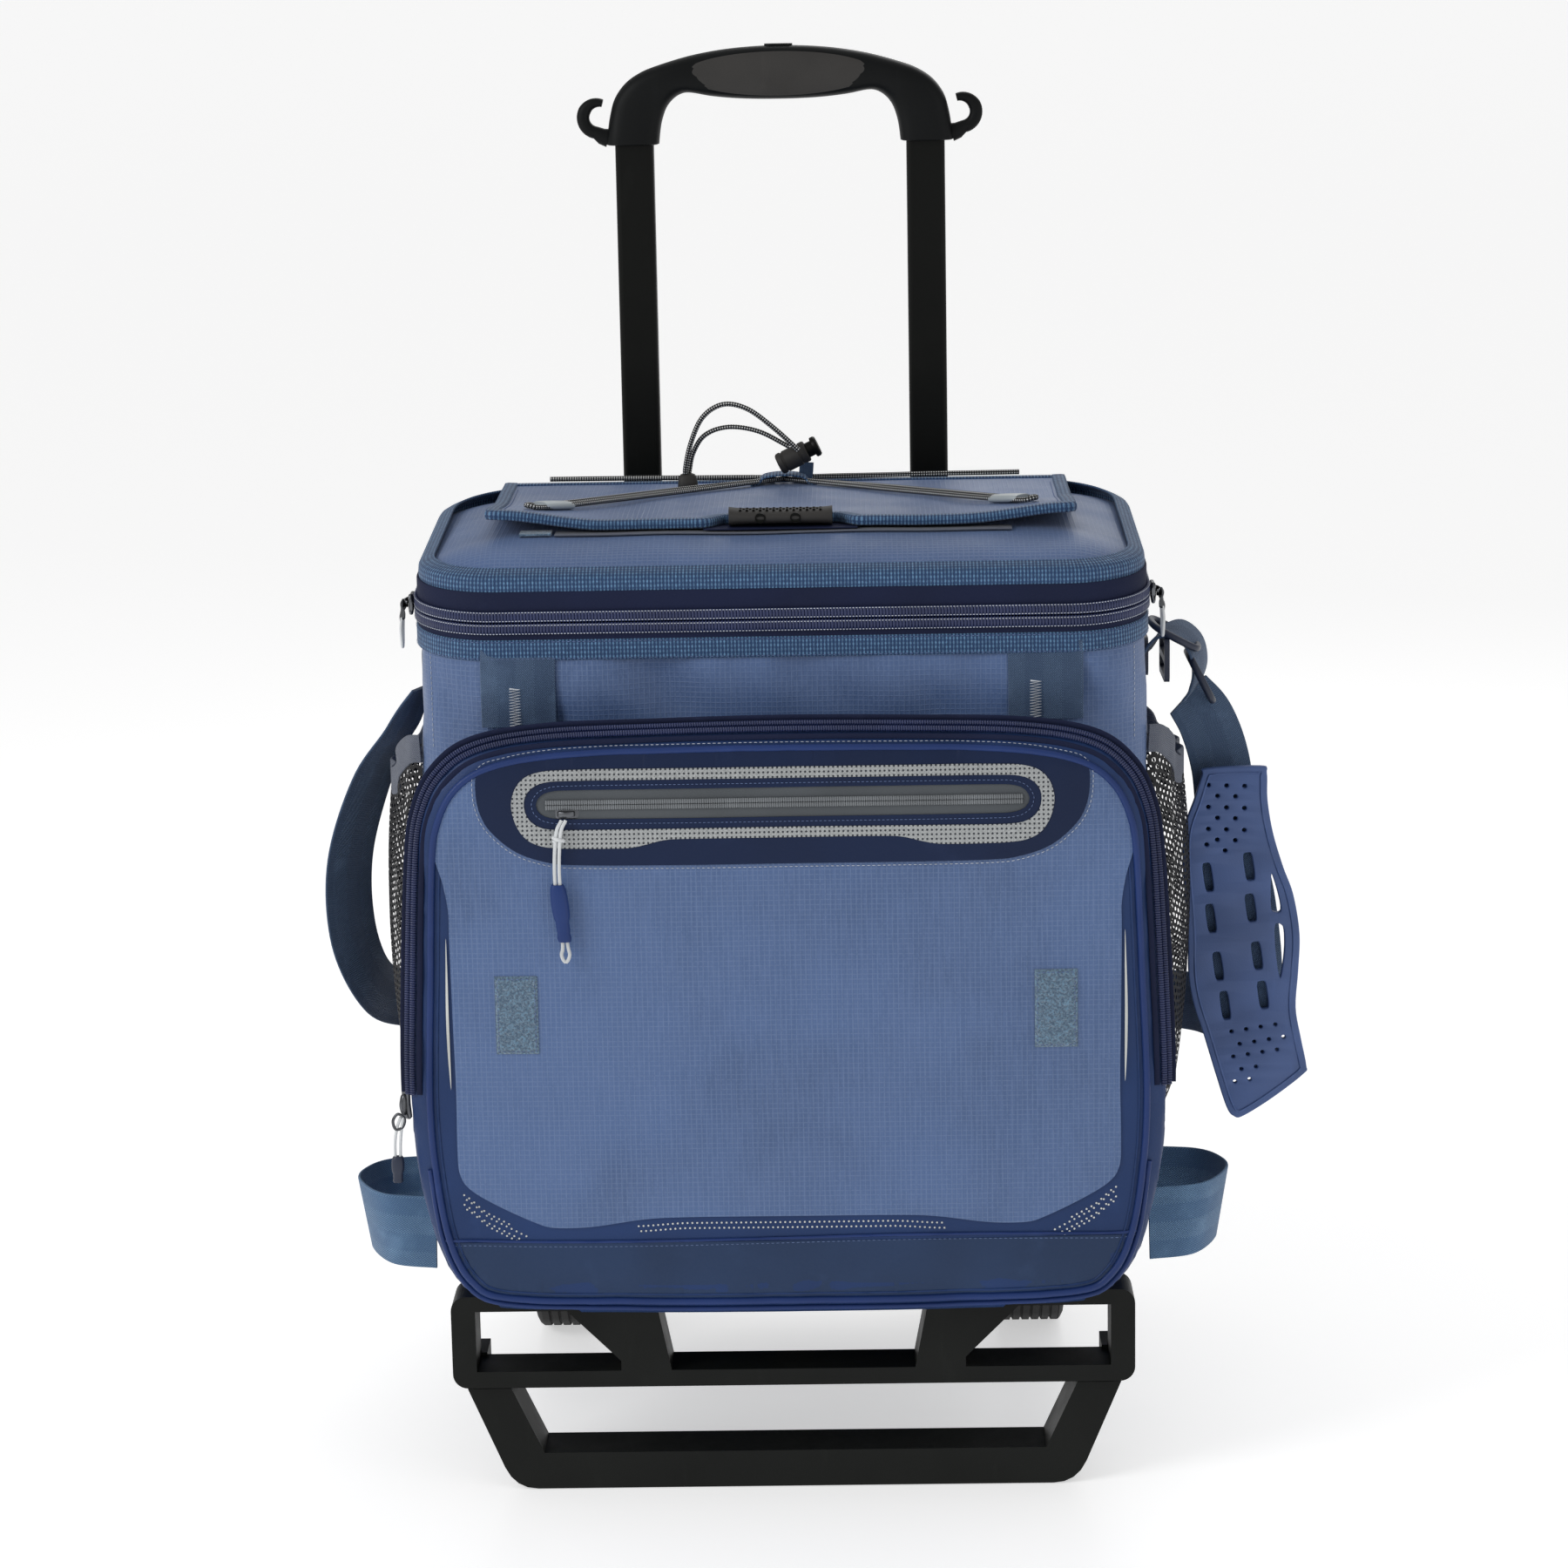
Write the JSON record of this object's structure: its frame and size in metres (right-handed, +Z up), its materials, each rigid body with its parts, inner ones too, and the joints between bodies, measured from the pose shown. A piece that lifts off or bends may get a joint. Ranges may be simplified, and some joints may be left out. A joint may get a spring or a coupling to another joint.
{
  "type": "rolling cooler bag",
  "caption": "Soft-sided insulated cooler bag with front pocket and quick-access lid on a folding-foot cart with wheels and telescopic handle.",
  "frame": {"origin": "middle of the front foot's flat underside, on the floor", "axes": "+X to the right when facing the front, +Y towards the handle and wheels, +Z up"},
  "size_m": [0.6094, 0.409, 0.856],
  "materials": {
    "ripstop": "ripstop weave, coated",
    "navy_trim": "woven trim",
    "webbing": "herringbone webbing",
    "mesh": "open knit mesh",
    "liner": "silver film",
    "cart_plastic": "moulded, satin",
    "grip_plastic": "moulded, fine texture",
    "tube_black": "black satin",
    "steel": "plain",
    "tyre": "matt",
    "soft_rubber": "matt",
    "pad_rubber": "moulded, matt",
    "buckle": "moulded",
    "slider_metal": "gunmetal",
    "pull_cord": "braided",
    "bungee": "braided elastic with pale flecks",
    "hook_loop": "loop pile"
  },
  "bodies": {
    "cart": {"front_frame": "cart_plastic", "deck": "cart_plastic", "foot_hinge_pin": "steel", "base": "cart_plastic", "axle": "steel", "tube_brace": "cart_plastic", "outer_tube_left": "tube_black", "outer_tube_right": "tube_black", "tube_collar_left": "cart_plastic", "tube_collar_right": "cart_plastic"},
    "foot": {"foot": "cart_plastic"},
    "wheel_left": {"tyre_left": "tyre", "hub_left": "cart_plastic", "hub_cap_left": "grip_plastic"},
    "wheel_right": {"tyre_right": "tyre", "hub_right": "cart_plastic", "hub_cap_right": "grip_plastic"},
    "handle": {"grip_front": "grip_plastic", "grip_rear": "grip_plastic", "button_spring": "steel", "inner_tube_left": "tube_black", "inner_tube_right": "tube_black", "hook_left": "grip_plastic", "hook_right": "grip_plastic"},
    "release": {"release_yoke": "steel", "release_button": "grip_plastic"},
    "bag": {"bag_body": "ripstop", "bag_liner": "liner", "zip_tape_lower": "navy_trim", "front_pocket": "ripstop", "rear_sleeve": "webbing", "shoulder_strap": "webbing", "shoulder_pad": "pad_rubber", "tri_glide": "buckle", "side_pocket_left": "mesh", "side_pocket_right": "mesh", "side_loop_left": "webbing", "side_loop_right": "webbing", "front_strap_left": "webbing", "front_strap_right": "webbing", "hook_loop_patch_left": "hook_loop", "hook_loop_patch_right": "hook_loop", "side_ring_left": "buckle", "side_ring_right": "buckle"},
    "lid": {"lid": "ripstop", "zip_tape_upper": "navy_trim"},
    "flap": {"flap": "ripstop", "flap_pull": "soft_rubber", "bungee_cord": "bungee", "lock_cord": "bungee", "cord_tab": "webbing", "cord_lock_barrel": "grip_plastic"},
    "cord_lock": {"cord_lock_plunger": "grip_plastic"},
    "lid_slider_left": {"lid_slider_left": "slider_metal"},
    "lid_slider_right": {"lid_slider_right": "slider_metal"},
    "small_zip": {"small_zip_slider": "slider_metal"},
    "small_pull": {"small_zip_pull": "pull_cord"},
    "pocket_zip": {"pocket_zip_slider": "slider_metal"}
  },
  "joints": [
    {"name": "handle_slide", "type": "slide", "parent": "cart", "child": "handle", "axis": [0, 0, -1], "range_m": [0, 0.3]},
    {"name": "release_press", "type": "slide", "parent": "handle", "child": "release", "axis": [0, 0, -1], "range_m": [0, 0.0025], "stiffness_N_per_m": 900, "springref_m": -0.004, "deforming": ["button_spring"]},
    {"name": "foot_fold", "type": "hinge", "parent": "cart", "child": "foot", "pos_m": [0, 0.024, 0.06], "axis": [1, 0, 0], "range_deg": [0, 90]},
    {"name": "wheel_left_spin", "type": "hinge", "parent": "cart", "child": "wheel_left", "pos_m": [-0.155, 0.288, 0.064], "axis": [1, 0, 0], "continuous": true},
    {"name": "wheel_right_spin", "type": "hinge", "parent": "cart", "child": "wheel_right", "pos_m": [0.155, 0.288, 0.064], "axis": [1, 0, 0], "continuous": true},
    {"name": "bag_lift", "type": "slide", "parent": "cart", "child": "bag", "axis": [0, 0, 1], "range_m": [0, 0.05]},
    {"name": "lid_open", "type": "hinge", "parent": "bag", "child": "lid", "pos_m": [0, 0.247, 0.5775], "axis": [-1, 0, 0], "range_deg": [0, 90]},
    {"name": "flap_open", "type": "hinge", "parent": "lid", "child": "flap", "pos_m": [0, 0.24, 0.5786], "axis": [-1, 0, 0], "range_deg": [0, 80]},
    {"name": "cord_lock_press", "type": "slide", "parent": "flap", "child": "cord_lock", "axis": [-0.9004, 0, -0.435], "range_m": [0, 0.003], "stiffness_N_per_m": 300, "springref_m": -0.002},
    {"name": "lid_slider_left_run", "type": "slide", "parent": "bag", "child": "lid_slider_left", "axis": [0, 0.9961, 0.0886], "range_m": [0, 0.148]},
    {"name": "lid_slider_right_run", "type": "slide", "parent": "bag", "child": "lid_slider_right", "axis": [0, 0.9961, 0.0886], "range_m": [0, 0.148]},
    {"name": "small_zip_run", "type": "slide", "parent": "bag", "child": "small_zip", "axis": [1, 0, 0], "range_m": [0, 0.25]},
    {"name": "small_pull_swing", "type": "hinge", "parent": "small_zip", "child": "small_pull", "pos_m": [-0.125, -0.0545, 0.421], "axis": [-1, 0, 0], "range_deg": [0, 80]},
    {"name": "pocket_zip_run", "type": "slide", "parent": "bag", "child": "pocket_zip", "axis": [0, 0, 1], "range_m": [0, 0.16]}
  ]
}
